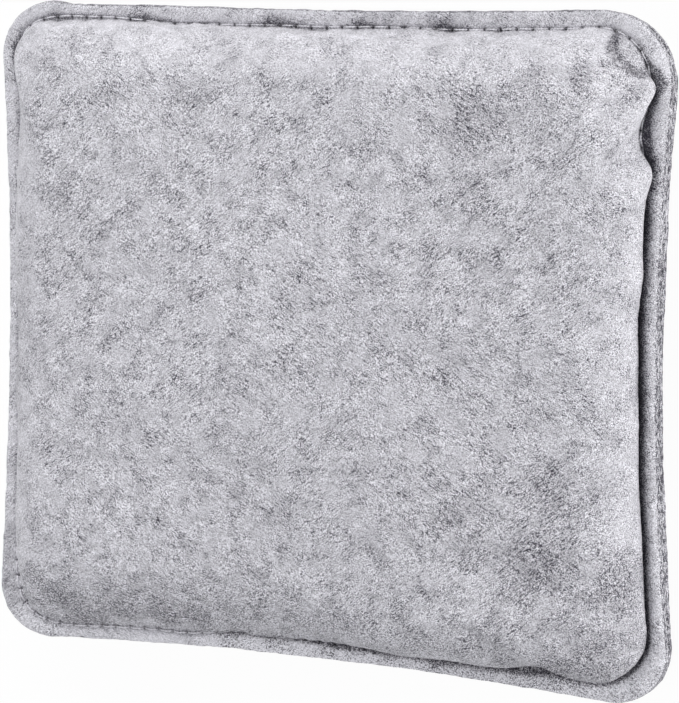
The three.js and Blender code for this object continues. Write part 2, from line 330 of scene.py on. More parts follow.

# How much lighter the sewn edge is painted, painted light where the crown shades it and painted shade below
# 0, and how strongly fibres show on the wall and on the sewn edge
PAINTED_EDGE_LIGHT = by_side([*SIDE_PAINTED_EDGE_LIGHT[:BOTTOM], SIDE_PAINTED_EDGE_LIGHT[BOTTOM] - 0.1 * OVERHUNG])
PAINTED_EDGE_LIGHT += 0.12 * BY_TUCK - 0.1 * LOWER_LEFT + 0.08 * LOWER_RIGHT
PAINTED_EDGE_LIGHT += 0.18 * bump(seam_x, 5, 45) * ON_BOTTOM
WALL_NAP = by_side(SIDE_NAP) + 0.5 * LOWER_LEFT
EDGE_NAP = WALL_NAP - 0.9 * np.maximum(STITCHES_SHOWN, LOWER_LEFT)


def rim_lift(inset):
    """How far the sewn edge stands off the seam plane, the same for both plies."""
    return TILT * np.maximum(SEAM_INSET - inset, 0)


def ply_gap(inset):
    """How far each ply turns away from the other towards the cut edge."""
    share = np.clip((SEAM_INSET - inset) / SEAM_INSET, 0, 1)
    return FLARE * share * share


def flange_height(inset):
    """Height of the outer face of a ply over the sewn edge, pinched along the seam."""
    across = (inset - SEAM_INSET) / GROOVE_SPREAD
    share = np.clip(inset / SEAM_INSET, 0, 1)
    puff = PUFF * np.sin(math.pi * share) + LOBE_SWELL * LOBE * share * share
    return FELT + puff - GROOVE * np.exp(-across * across) + ply_gap(inset)


def seam_row(step):
    """Places and insets of a row beside the seam, drawn in so that the needle holes come out round."""
    offset = (EVERY_COLUMN + COLUMNS_PER_STITCH // 2) % COLUMNS_PER_STITCH - COLUMNS_PER_STITCH // 2
    far = np.hypot(offset / HOLE_COLUMNS, step)
    at_hole = np.abs(offset) <= HOLE_COLUMNS
    pull = np.where(at_hole, 1 / np.maximum(far, 1), 1)
    along = np.where(at_hole, HOLE_TIGHTNESS * pull, 1)
    return place_at(EVERY_COLUMN + offset * (along - 1)), SEAM_INSET + step * HOLE_HALF * pull


def outer_rows(side):
    """Rows of a cover's outer face from the cut edge to the shoulder: places, insets, heights and climbs."""
    stray = NOTCH_DEPTH * NOTCH
    for length, far, seed in EDGE_WAVES:
        stray = stray + far * soft_noise(SEAM_POINTS, length, seed + side)
    rows = []
    for height in np.linspace(0, FELT - EDGE_ROUND, EDGE_ROWS):
        inset = stray + side * BEVEL * height / FELT
        rows.append((PLACES, inset, height + ply_gap(stray), 0.0))
    stray = inset
    for angle in EDGE_ROUND_ANGLES:
        inset = stray + EDGE_ROUND * (1 - math.cos(angle))
        rows.append((PLACES, inset, FELT - EDGE_ROUND * (1 - math.sin(angle)) + ply_gap(inset), 0.0))
    for share in np.arange(1, FLANGE_ROWS + 1) / (FLANGE_ROWS + 1):
        inset = (stray + EDGE_ROUND) * (1 - share) + (SEAM_INSET - HOLE_HALF) * share
        rows.append((PLACES, inset, flange_height(inset), 0.0))
    for step in SEAM_STEPS:
        place, inset = seam_row(step)
        rows.append((place, inset, flange_height(inset), 0.0))
    foot_inset = SEAM_INSET + HOLE_HALF
    foot_height = flange_height(foot_inset)
    lean = LEAN if side > 0 else BACK_LEAN
    shoulder = SHOULDER if side > 0 else SHOULDER_INSET
    longest = (shoulder - foot_inset) / np.cos(lean)
    rise = (CROWN_HEIGHT - DOME_RISE - foot_height) / (1 + np.sin(lean))
    for share in np.arange(1, WALL_ROWS + 1) / WALL_ROWS:
        angle = -lean + (math.pi / 2 + lean) * share
        inset = shoulder - longest * np.cos(angle)
        height = foot_height + rise * (np.sin(angle) + np.sin(lean))
        rows.append((PLACES, inset, height, 1 - math.cos(math.pi / 2 * share)))
    return rows


def outer_rings(side):
    """Rings of a cover's outer face about the seam plane, from the cut edge to the middle of the dome. Each
    is the columns that it keeps, its points, and how far along the felt they lie from the seam."""
    rings = []
    reach = np.zeros(COLUMNS)
    for number, (place, inset, height, climb) in enumerate(outer_rows(side)):
        x, y = loop(place, inset, climb)
        points = np.stack([x, y, height + side * rim_lift(inset)], 1)
        if rings:
            reach = reach + np.linalg.norm(points - previous, axis=1)
        previous = points
        stride = 1 if number < FIRST_WALL_ROW + FINE_WALL_ROWS else 2
        rings.append((EVERY_COLUMN[::stride], points[::stride], reach[::stride]))
    columns, shoulder, reach = rings[-1]
    for ring in range(1, DOME_RINGS):
        scale = 1 - ring / DOME_RINGS
        if len(columns) % 2 == 0 and scale * COLUMNS < DOME_CROWDING * len(columns):
            columns, shoulder, reach = columns[::2], shoulder[::2], reach[::2]
        points = shoulder * scale
        points[:, 2] = CROWN_HEIGHT - DOME_RISE * scale * scale
        rings.append((columns, points, reach + (1 - scale) * np.linalg.norm(shoulder, axis=1)))
    rings.append((EVERY_COLUMN[:1], np.array([[0, 0, CROWN_HEIGHT]]), reach[:1]))
    at_seam = rings[FIRST_SEAM_ROW + len(SEAM_STEPS) // 2][2]
    return [(columns, points, reach - at_seam[columns]) for columns, points, reach in rings]


def band(first, count, second, count_after, keep=None):
    """Faces between two rings that start at those vertices. The rings have as many points, or one has twice
    as many, or one is a single point. keep names the columns that are closed."""
    index = np.arange(count)
    after = np.arange(count_after)
    if count_after == 1:
        return np.stack([first + index, first + (index + 1) % count, second + 0 * index], 1).tolist()
    if count == 1:
        return np.stack([second + (after + 1) % count_after, second + after, first + 0 * after], 1).tolist()
    index = np.arange(min(count, count_after))
    ahead = (index + 1) % len(index)
    if count == count_after:
        quads = np.stack([first + index, first + ahead, second + ahead, second + index], 1)
        return quads.tolist() if keep is None else quads[keep].tolist()
    middle = 2 * index + 1
    far = (2 * index + 2) % max(count, count_after)
    if count > count_after:
        corners = np.stack([first + 2 * index, first + middle, second + index], 1)
        quads = np.stack([first + middle, first + far, second + ahead, second + index], 1)
    else:
        corners = np.stack([first + index, second + middle, second + 2 * index], 1)
        quads = np.stack([first + index, first + ahead, second + far, second + middle], 1)
    return corners.tolist() + quads.tolist()


def ring_faces(rings, open_bands=()):
    """Faces that join each ring to the next, and each ring's first vertex. Open bands have needle holes."""
    offset = (EVERY_COLUMN + HOLE_COLUMNS) % COLUMNS_PER_STITCH
    closed = np.flatnonzero(offset >= 2 * HOLE_COLUMNS)
    counts = [len(points) for _, points, _ in rings]
    starts = np.concatenate([[0], np.cumsum(counts)[:-1]])
    faces = []
    for number in range(len(rings) - 1):
        keep = closed if number in open_bands else None
        faces += band(starts[number], counts[number], starts[number + 1], counts[number + 1], keep)
    return faces, starts


def new_mesh(name, points, faces):
    mesh = bpy.data.meshes.new(name)
    mesh.from_pydata(np.asarray(points).tolist(), [], faces)
    mesh.polygons.foreach_set("use_smooth", [True] * len(mesh.polygons))
    mesh.update()
    return mesh


def joined(rings):
    """The columns, points and reaches of rings, each in one array."""
    return [np.concatenate(parts) for parts in zip(*rings)]


def normals_of(points, faces):
    mesh = new_mesh("measured", points, faces)
    normals = np.zeros(len(points) * 3)
    mesh.vertex_normals.foreach_get("vector", normals)
    bpy.data.meshes.remove(mesh)
    return normals.reshape(-1, 3)


# Relief of the felt. Puckers at the stitches, on the wall and the sewn edge: height and how far they fade.
# Folds up the wall: spacing, height and fade. Lumps of the filling and the felt's grain: spacing, height.
WALL_PUCKERS = (0.20 * MM, 3 * MM)
EDGE_PUCKERS = (0.10 * MM, 2 * MM)
FOLDS = ((7 * MM, 0.9 * MM, 7 * MM), (19 * MM, 1.6 * MM, 14 * MM))
LUMPS = ((8 * MM, 0.35 * MM), (24 * MM, 0.9 * MM), (55 * MM, 1.2 * MM))
GRAIN = (2.6 * MM, 0.10 * MM)


def fading(reach, height, fade):
    """A height at the seam that fades with the distance from it."""
    return height * np.exp(-np.abs(reach) / fade)


def relief(points, columns, reach, seed):
    """How far the felt stands out from its plain form: puckers at the stitches, folds that run up the wall,
    and soft lumps of the filling."""
    on_wall = reach > 0
    seam_points = SEAM_POINTS[columns]
    puckers = np.where(on_wall, fading(reach, *WALL_PUCKERS), fading(reach, *EDGE_PUCKERS))
    height = -puckers * PULL[columns]
    loose = on_wall * (1 - 0.6 * ON_RIGHT[columns] - 0.85 * STITCHES_SHOWN[columns])
    for number, (size, high, fade) in enumerate(FOLDS):
        height += loose * fading(reach, high, fade) * soft_noise(seam_points, size, seed + 1 + number)
    filled = smooth_step(1 * MM, 8 * MM, reach)
    for number, (size, high) in enumerate(LUMPS):
        height += filled * high * soft_noise(points, size, seed + 3 + number)
    size, high = GRAIN
    return height + high * soft_noise(points, size, seed + 6)


# The tuck in the front cover's upper right corner, where spare felt folds in along the seam.
# Distances from its middle count the lip as 1. The lip and the lining ease between two such distances.
TUCK_ALONG = np.array([0.765, -0.644])
TUCK_OUT = np.array([-TUCK_ALONG[1], TUCK_ALONG[0]])
TUCK_HALF_LENGTH = 7.6 * MM
TUCK_HALF_WIDTH = 4.4 * MM
TUCK_MOUTH = 1.5 * MM
TUCK_FLOOR = 1.8 * MM
TUCK_SLOPE = 0.45
TUCK_OVERHANG = 1.3 * MM
TUCK_DEEP = 3 * MM
TUCK_LIP = (1.2, 0.85)
TUCK_LINING = (2.1, 1.2)


def tuck_distance(points):
    """How far points lie from the middle of the tuck, with 1 on the lip round it."""
    offset = points[:, :2] - TUCKED_CORNER
    inward = np.minimum(offset @ TUCK_OUT, 0)
    return np.hypot(offset @ TUCK_ALONG / TUCK_HALF_LENGTH, inward / TUCK_HALF_WIDTH)


def tuck_share(points, reach, limits=TUCK_LIP):
    """1 on the floor of the tuck, easing to 0 over the lip round it or between other limits."""
    return smooth_step(*limits, tuck_distance(points)) * (reach > 0)


def tuck_depth(points):
    """How far points stand above the floor of the tuck, which rises from the seam."""
    out = (points[:, :2] - TUCKED_CORNER) @ TUCK_OUT
    return np.maximum(points[:, 2] - TUCK_FLOOR - TUCK_SLOPE * np.maximum(TUCK_MOUTH - out, 0), 0)


def tuck_shade(points, reach):
    """How dark the tuck is, most so round its lip."""
    share = tuck_share(points, reach)
    under_lip = 0.05 + 0.45 * smooth_step(0.55, 0.95, tuck_distance(points))
    return share * under_lip + 1.3 * share * (1 - share)


def tucked(points, reach):
    """Sinks the front cover's corner into its tuck: a low facet beside the seam, under a lip over it."""
    offset = points[:, :2] - TUCKED_CORNER
    along = offset @ TUCK_ALONG / TUCK_HALF_LENGTH ** 2
    inward = np.minimum(offset @ TUCK_OUT, 0) / TUCK_HALF_WIDTH ** 2
    uphill = np.outer(along, TUCK_ALONG) + np.outer(inward, TUCK_OUT)
    uphill /= np.maximum(np.linalg.norm(uphill, axis=1), 1e-9)[:, None]
    share = tuck_share(points, reach)
    depth = tuck_depth(points)
    overhang = TUCK_OVERHANG * np.sin(2 * math.pi * share) * smooth_step(0, TUCK_DEEP, depth)
    sunk = points.copy()
    sunk[:, 2] -= share * depth
    sunk[:, :2] -= uphill * overhang[:, None]
    return sunk


def tuck_lining(points, reach):
    """The form that the inner face follows under the tuck: the same floor in a wide, plain slope."""
    sunk = points.copy()
    sunk[:, 2] -= tuck_share(points, reach, TUCK_LINING) * tuck_depth(points)
    return sunk


def outer_face(side):
    """A cover's outer face with all its relief, as rings, and the form that its inner face follows: rings
    with the normal at every point."""
    rings = outer_rings(side)
    faces, starts = ring_faces(rings)
    columns, points, reach = joined(rings)
    height = relief(points, columns, reach, 20 + 10 * side)
    points = points + normals_of(points, faces) * height[:, None]
    lining = points
    if side > 0:
        lining = tuck_lining(points, reach)
        points = tucked(points, reach)
    if side < 0:
        points[:, 2] = np.minimum(points[:, 2], SEAM_HEIGHT)
    cuts = starts[1:]
    normals = np.split(normals_of(lining, faces), cuts)
    shaped = [(ring[0], part, ring[2]) for ring, part in zip(rings, np.split(points, cuts))]
    followed = [(ring[0], part, ring[2]) for ring, part in zip(rings, np.split(lining, cuts))]
    return shaped, followed, normals


def sunk_rings(rings, normals, depth):
    """Every few rings of the crown, sunk along their normals, from the dome's middle to the wall's foot."""
    made = []
    for number in range(len(rings) - 1, INNER_FOOT_ROW, -INNER_STRIDE):
        columns, points, reach = rings[number]
        sunk = points - normals[number] * depth
        sunk[:, 2] = np.maximum(sunk[:, 2], INNER_LOWEST)
        made.append((columns, sunk, reach))
    return made


def inner_rings(rings, normals):
    """The inner face of a cover from the middle of the crown to the cut edge."""
    made = sunk_rings(rings, normals, FELT)
    for step in reversed(SEAM_STEPS):
        place, inset = seam_row(step)
        x, y = loop(place, inset)
        made.append((EVERY_COLUMN, np.stack([x, y, 0 * x], 1), 0 * x))
    return made


def hole_rim():
    """Column and row offsets round a needle hole, counter-clockwise seen from outside."""
    reach = HOLE_COLUMNS
    span = range(-reach, reach)
    there = [(column, -reach) for column in span] + [(reach, row) for row in span]
    back = [(-column, reach) for column in span] + [(-reach, -row) for row in span]
    return there + back


def hole_walls(outer_start, inner_start):
    """Faces that line the needle holes between the seam rows of the outer and the inner face."""
    middle = len(SEAM_STEPS) // 2
    rim = hole_rim()
    faces = []
    for centre in range(0, COLUMNS, COLUMNS_PER_STITCH):
        outer = [outer_start + (middle + row) * COLUMNS + (centre + column) % COLUMNS for column, row in rim]
        inner = [inner_start + (middle - row) * COLUMNS + (centre + column) % COLUMNS for column, row in rim]
        for here in range(len(rim)):
            ahead = (here + 1) % len(rim)
            faces.append([outer[here], outer[ahead], inner[ahead], inner[here]])
    return faces


def without_loose(points, faces, *values):
    """Drops the points that no face uses."""
    used = np.zeros(len(points), bool)
    for face in faces:
        used[face] = True
    number = np.cumsum(used) - 1
    return (points[used], [number[face].tolist() for face in faces], *(value[used] for value in values))


def new_piece(name, mesh, material):
    piece = bpy.data.objects.new(name, mesh)
    bpy.context.scene.collection.objects.link(piece)
    mesh.materials.append(material)
    return piece


# Darker patches on the face, partly clumps of charcoal fibre and partly painted shade on the lower wall: x,
# y and radius in millimetres, and how dark
CLUMPS_AND_SHADE = [
    (-74, -89, 11, 0.8),
    (-79, -81, 8, 0.9),
    (-98, 22, 13, 0.5),
    (-98, 4, 13, 0.5),
    (-98, -14, 13, 0.5),
    (-60, -83, 8, 0.6),
    (-47, -83, 8, 1.0),
    (-37, -83, 7, 1.0),
    (79, 80.5, 6, 0.8),
    (92.5, 76.5, 5, 0.9),
    (74, 73, 9, 0.4),
    (50, 70, 13, 0.5),
    (49, 48, 16, 0.3),
    (72, -34, 15, 0.4),
    (69, -55, 18, 0.8),
    (48, -42, 20, 0.3),
    (88, -81, 18, 0.5),
    (93, -60, 13, 0.8),
    (76, -86, 8, 0.8),
]


def clumped_and_shaded(points):
    """How deep points lie in the darker patches of charcoal fibre and painted shade, 1 in the middle of a
    dark one.
    """
    share = np.zeros(len(points))
    for x, y, radius, strength in CLUMPS_AND_SHADE:
        distance = np.hypot(points[:, 0] - x * MM, points[:, 1] - y * MM)
        share = np.maximum(share, strength * smooth_step(radius * MM, 0, distance))
    return share


def seam_looks(points, columns, reach, cut, side):
    """How dark the painted shade in the crease is at points of a cover, how much lighter they are painted,
    and how their fibres show.
    """
    on_wall = reach > 0
    away = np.where(on_wall, reach, np.maximum(-reach - CREASE_HOLD[columns], 0))
    fade = np.where(on_wall, WALL_CREASE[columns], CREASE[columns])
    crease_shade = CREASE_DEPTH[columns] * np.exp(-(away / fade) ** 2)
    if side > 0:
        crease_shade = np.maximum(crease_shade, tuck_shade(points, reach))
    painted_edge_light = PAINTED_EDGE_LIGHT[columns] * smooth_step(-0.5 * MM, -1.5 * MM, reach) * (1 - cut)
    by_seam = np.where(on_wall, WALL_NAP[columns], EDGE_NAP[columns])
    nap = 1 + (by_seam - 1) * smooth_step(32 * MM, 16 * MM, reach)
    return crease_shade, painted_edge_light, nap


def felt_cover(name, side, shaped, followed, normals, material):
    """A closed felt cover with its needle holes. side is 1 for the front and -1 for the back."""
    inner = inner_rings(followed, normals)
    rings = inner + shaped
    inner_seam = len(inner) - len(SEAM_STEPS)
    outer_seam = len(inner) + FIRST_SEAM_ROW
    bands = range(len(SEAM_STEPS) - 1)
    open_bands = {inner_seam + number for number in bands} | {outer_seam + number for number in bands}
    faces, starts = ring_faces(rings, open_bands)
    faces += hole_walls(starts[outer_seam], starts[inner_seam])
    columns, points, reach = joined(rings)
    cut = np.zeros(len(points))
    cut[starts[len(inner)]:starts[len(inner) + EDGE_ROWS + 1]] = 1
    looks = seam_looks(points, columns, reach, cut, side)
    points, faces, reach, cut, crease_shade, painted_edge_light, nap = without_loose(points, faces, reach, cut, *looks)
    points[:, 2] = SEAM_HEIGHT + side * points[:, 2]
    if side < 0:
        faces = [face[::-1] for face in faces]
    mesh = new_mesh(name, points, faces)
    # Darker patches of charcoal fibre and painted shade on the front cover
    clump_and_shade = clumped_and_shaded(points) * smooth_step(0, 4 * MM, reach) * (side > 0)
    shown = {"cut_edge": cut, "crease_shade": crease_shade, "painted_edge_light": painted_edge_light, "nap": nap, "clump_and_shade": clump_and_shade}
    for look, values in shown.items():
        mesh.attributes.new(look, "FLOAT", "POINT").data.foreach_set("value", values)
    return new_piece(name, mesh, material)


def foam_slab(name, front, back, material):
    """The filling: it follows the inside of both covers with a small gap."""
    depth = FELT + FOAM_CLEARANCE
    upper = sunk_rings(*front, depth)
    lower = sunk_rings(*back, depth)
    lower = [(columns, points * [1, 1, -1], reach) for columns, points, reach in lower]
    rings = upper + lower[::-1]
    faces, _ = ring_faces(rings)
    points = joined(rings)[1] + [0, 0, SEAM_HEIGHT]
    return new_piece(name, new_mesh(name, points, [face[::-1] for face in faces]), material)


# The lockstitch. A stitch lies on the felt and sinks towards its holes, given by columns after a hole. It
# sinks more in some places than in others, and its pull at the holes varies.
STITCH_RISE = 1.4 * THREAD_RADIUS
HOLE_SINK = 0.55 * MM
STITCH_SINK = {2: 0.3 * MM, 3: 0.05 * MM, 4: 0.0, 5: 0.05 * MM, 6: 0.3 * MM}
STRAY_SINK = 0.3 * MM
BURIED_SINK = 0.65 * MM
SHOWN_LIFT = 0.7 * MM
USUAL_TENSION = 0.6
TENSION_NOISE = 1.2
LEAST_TENSION = 0.15


def stitch_path(side):
    """The path of one thread about the seam plane. At each hole the needle thread dips in a loop along the
    seam and the bobbin thread rises in a loop across it, so that each loop goes through the other."""
    stray = STRAY_SINK * np.maximum(soft_noise(SEAM_POINTS, 12 * MM, 16 + side), 0)
    if side > 0:
        stray = stray + BURIED_SINK * STITCHES_SUNK - SHOWN_LIFT * STITCHES_SHOWN
    surface = side * (flange_height(SEAM_INSET) + STITCH_RISE - stray)
    x, y = loop(PLACES, SEAM_INSET)
    seam = np.stack([x, y, surface], 1)
    along = np.roll(seam, -1, 0) - np.roll(seam, 1, 0)
    along[:, 2] = 0
    along /= np.linalg.norm(along, axis=1)[:, None]
    inward = np.stack([-along[:, 1], along[:, 0], 0 * x], 1)
    across = along if side > 0 else inward
    lock = -side * LOCK_OFFSET / 2
    tension = USUAL_TENSION + TENSION_NOISE * soft_noise(SEAM_POINTS, 3 * MM, 18 + side)
    tension = np.clip(tension, LEAST_TENSION, 1)
    path = []
    for hole in range(0, COLUMNS, COLUMNS_PER_STITCH):
        near = seam[hole] - LOCK_OFFSET * across[hole]
        far = seam[hole] + LOCK_OFFSET * across[hole]
        for point in (near, far):
            point[2] -= side * HOLE_SINK * tension[hole]
        path += [near, [near[0], near[1], lock], [far[0], far[1], lock], far]
        path += [seam[hole + step] - [0, 0, side * sink] for step, sink in STITCH_SINK.items()]
    return np.array(path)


def rounded(path, rounds):
    """Cuts the corners of a closed path, each round halving its bends."""
    for _ in range(rounds):
        ahead = np.roll(path, -1, 0)
        path = np.stack([0.75 * path + 0.25 * ahead, 0.25 * path + 0.75 * ahead], 1).reshape(-1, 3)
    return path


def evenly_spaced(path, spacing):
    """Points at equal distances along a closed path."""
    closed = np.concatenate([path, path[:1]])
    travelled = np.concatenate([[0], np.cumsum(np.linalg.norm(np.diff(closed, axis=0), axis=1))])
    count = round(travelled[-1] / spacing)
    steps = np.arange(count) / count * travelled[-1]
    return np.stack([np.interp(steps, travelled, closed[:, axis]) for axis in range(3)], 1), travelled[-1]


def carried_along(path):
    """Two unit vectors across a closed path at each point, carried along without a twist, and the angle by
    which they have slipped when they come round."""
    heading = np.roll(path, -1, 0) - np.roll(path, 1, 0)
    heading /= np.linalg.norm(heading, axis=1)[:, None]
    across = np.zeros(path.shape)
    across[0] = np.cross(heading[0], [0, 0, 1])
    for number in range(1, len(path)):
        across[number] = across[number - 1] - heading[number] * (across[number - 1] @ heading[number])
        across[number] /= np.linalg.norm(across[number])
    across[0] /= np.linalg.norm(across[0])
    upward = np.cross(heading, across)
    return across, upward, math.atan2(across[-1] @ upward[0], across[-1] @ across[0])


def twisted_thread(name, side, material):
    """A thread of two twisted strands along its stitches, closed round the pad."""
    path, length = evenly_spaced(rounded(stitch_path(side), PATH_ROUNDS), PATH_SPACING)
    count = len(path)
    across, upward, slip = carried_along(path)

    def outward(angle):
        return np.cos(angle)[:, None] * across + np.sin(angle)[:, None] * upward

    turns = 2 * math.pi * round(length / TWIST_LENGTH) - slip
    index = np.arange(count)
    ahead = (index + 1) % count
    points = []
    faces = []
    for strand in range(STRANDS):
        twist = 2 * math.pi * strand / STRANDS + turns * index / count
        centre = path + outward(twist) * STRAND_OFFSET
        start = strand * STRAND_SIDES * count
        for corner in range(STRAND_SIDES):
            points.append(centre + outward(twist + 2 * math.pi * corner / STRAND_SIDES) * STRAND_RADIUS)
            here = start + corner * count
            beside = start + (corner + 1) % STRAND_SIDES * count
            faces += np.stack([here + index, here + ahead, beside + ahead, beside + index], 1).tolist()
    points = np.concatenate(points) + [0, 0, SEAM_HEIGHT]
    return new_piece(name, new_mesh(name, points, faces), material)


# Materials

class Graph:
    """Nodes of a material or a world. Outputs given as values are linked, others are set on the socket."""

    def __init__(self, owner):
        self.owner = owner
        owner.use_nodes = True
        self.tree = owner.node_tree
        self.tree.nodes.clear()

    def node(self, kind, inputs=None, **settings):
        made = self.tree.nodes.new("ShaderNode" + kind)
        for name, value in settings.items():
            setattr(made, name, value)
        for name, value in (inputs or {}).items():
            if isinstance(value, bpy.types.NodeSocket):
                self.tree.links.new(value, made.inputs[name])
            else:
                made.inputs[name].default_value = value
        return made

    def calc(self, operation, first, second=0.0):
        return self.node("Math", {0: first, 1: second}, operation=operation).outputs[0]

    def times(self, value, factor):
        return self.calc("MULTIPLY", value, factor)

    def attribute(self, name):
        return self.node("Attribute", attribute_name=name).outputs["Fac"]

    def moved(self, vector, seed, turn=0.0, stretch=1.0):
        """The vector shifted by a seed, with patterns drawn out along an axis that is turned about Z."""
        place = {"Vector": vector, "Location": (seed * 0.137, seed * 0.291, seed * 0.173)}
        place["Rotation"] = (0, 0, math.radians(turn))
        place["Scale"] = (stretch, 1, 1)
        return self.node("Mapping", place, vector_type="TEXTURE").outputs[0]

    def noise(self, vector, size, detail=0.0, roughness=0.5, distortion=0.0):
        inputs = {"Vector": vector, "Scale": 1 / size, "Detail": detail}
        inputs["Roughness"] = roughness
        inputs["Distortion"] = distortion
        return self.node("TexNoise", inputs).outputs[0]

    def ramp(self, value, low, high, start=0.0, end=1.0):
        inputs = {"Value": value, "From Min": low, "From Max": high, "To Min": start, "To Max": end}
        return self.node("MapRange", inputs, interpolation_type="SMOOTHSTEP", clamp=True).outputs[0]

    def lines(self, vector, size, width):
        """Thin curved lines, 1 on the line and 0 beside it, where a soft noise crosses its middle."""
        level = self.noise(vector, size, 1.0, 0.5, 0.6)
        distance = self.calc("ABSOLUTE", self.calc("SUBTRACT", level, 0.5))
        return self.ramp(distance, 0.0, width, 1.0, 0.0)

    def total(self, *values):
        result = values[0]
        for value in values[1:]:
            result = self.calc("ADD", result, value)
        return result

    def colours(self, value, stops):
        made = self.node("ValToRGB", {"Fac": value})
        ramp = made.color_ramp
        while len(ramp.elements) < len(stops):
            ramp.elements.new(1.0)
        for element, (place, colour) in zip(ramp.elements, stops):
            element.position = place
            element.color = (*colour, 1)
        return made.outputs[0]

    def bumped(self, height, strength, distance):
        return self.node("Bump", {"Height": height, "Strength": strength, "Distance": distance}).outputs[0]

    def seen(self):
        """1 for what the camera sees, in reflections and through clear things too."""
        path = self.node("LightPath")
        seen = self.calc("MAXIMUM", path.outputs["Is Camera Ray"], path.outputs["Is Glossy Ray"])
        return self.calc("MAXIMUM", seen, path.outputs["Is Transmission Ray"])

    def finish(self, shader, kind="OutputMaterial"):
        self.node(kind, {"Surface": shader.outputs[0]})
        return self.owner


def new_graph(name):
    return Graph(bpy.data.materials.new(name))


def grey(level, tint=(0.0, 0.0, 0.0)):
    """The linear colour of a grey of 0 to 255, as it looks on a screen, with a tint added."""
    linear = []
    for part in tint:
        value = (level + part) / 255
        linear.append(value / 12.92 if value <= 0.04045 else ((value + 0.055) / 1.055) ** 2.4)
    return linear


COOL = (0.5, -1.0, 4.0)
LILAC = (1.5, -1.0, 8.0)


def felt_material():
    """Grey heather felt: pale and charcoal fibres matted together, the charcoal ones in clouds, with painted
    shade along the seam and painted light on the sewn edge.
    """
    graph = new_graph("heather_felt")
    place = graph.node("TexCoord").outputs["Object"]
    grain = graph.ramp(graph.noise(graph.moved(place, 14), 40 * MM, 1.0), 0.42, 0.58)
    crossing = graph.calc("SUBTRACT", 1.0, grain)

    def laid(seed, stretch, size, width):
        """Fibres that lie along the grain, which turns from place to place."""
        rising = graph.lines(graph.moved(place, seed, 38, stretch), size, width)
        falling = graph.lines(graph.moved(place, seed + 1, -32, stretch), size, width)
        along = graph.times(rising, grain)
        return graph.total(along, graph.times(falling, crossing))

    pale = laid(20, 4.0, 0.6 * MM, 0.08)
    dark = laid(22, 5.0, 0.6 * MM, 0.055)
    pale_fine = graph.lines(graph.moved(place, 2, -25, 1.8), 0.5 * MM, 0.08)
    dark_fine = graph.lines(graph.moved(place, 4, 70, 2.2), 0.5 * MM, 0.06)
    # Charcoal clumps and painted shade on the lower wall: darker clouds and streaks
    clump_and_shade = graph.attribute("clump_and_shade")
    clouds = graph.noise(graph.moved(place, 5), 7 * MM, 4.0, 0.6)
    clouds = graph.total(clouds, graph.times(clump_and_shade, 0.3))
    patches = graph.noise(graph.moved(place, 6), 38 * MM, 2.0)
    speckle = graph.ramp(graph.noise(graph.moved(place, 7), 0.34 * MM), 0.25, 0.75)
    clumps = graph.noise(graph.moved(place, 8, 40, 1.5), 2.6 * MM, 2.0)
    charcoal = graph.ramp(clouds, 0.40, 0.68)
    dark_share = graph.total(0.45, graph.times(charcoal, 0.5))
    dark_lines = graph.total(dark, graph.times(dark_fine, 0.8))
    dark_lines = graph.times(dark_lines, dark_share)
    pale_lines = graph.total(pale, graph.times(pale_fine, 0.7))
    streak_lines = graph.lines(graph.moved(place, 30, -38, 7.0), 0.9 * MM, 0.09)
    streaks = graph.times(streak_lines, clump_and_shade)
    matted = graph.ramp(graph.noise(graph.moved(place, 10), 6 * MM, 2.0), 0.30, 0.62, 0.65, 1.15)
    nap = graph.attribute("nap")
    fibres = graph.total(
        graph.times(pale_lines, 0.25),
        graph.times(dark_lines, -0.54),
        graph.times(graph.calc("SUBTRACT", speckle, 0.5), 0.53),
    )
    tone = graph.total(
        0.53,
        graph.times(fibres, graph.times(matted, nap)),
        graph.times(graph.calc("SUBTRACT", clumps, 0.5), 0.26),
        graph.times(charcoal, -0.07),
        graph.times(clump_and_shade, -0.05),
        graph.times(streaks, -0.3),
        graph.times(graph.calc("SUBTRACT", patches, 0.5), 0.10),
    )
    cut = graph.attribute("cut_edge")
    crease_shade = graph.attribute("crease_shade")
    layers = graph.noise(graph.moved(place, 9, 90, 3.0), 0.5 * MM, 2.0, 0.6)
    fray = graph.times(graph.ramp(layers, 0.35, 0.65, -0.55, 0.0), cut)
    # Painted shade in the crease along the seam and in the tuck
    painted_crease_shade = graph.times(crease_shade, -0.62)
    # Painted light on the sewn edge where the crown shades it, painted shade where it is below 0
    painted_edge_light = graph.attribute("painted_edge_light")
    tone = graph.total(tone, fray, painted_crease_shade, painted_edge_light)
    stops = [(0.0, grey(52, LILAC)), (0.5, grey(186, COOL)), (1.0, grey(240, COOL))]
    colour = graph.colours(tone, stops)
    ridges = graph.times(pale_lines, 0.5)
    dips = graph.times(dark_lines, -0.3)
    pile = graph.total(ridges, speckle, clumps, dips)
    shader = graph.node("BsdfPrincipled", {
        "Base Color": colour,
        "Roughness": 0.95,
        "Specular IOR Level": 0.15,
        "Sheen Weight": 0.12,
        "Sheen Roughness": 0.6,
        "Normal": graph.bumped(pile, 0.32, 0.18 * MM),
    })
    return graph.finish(shader)


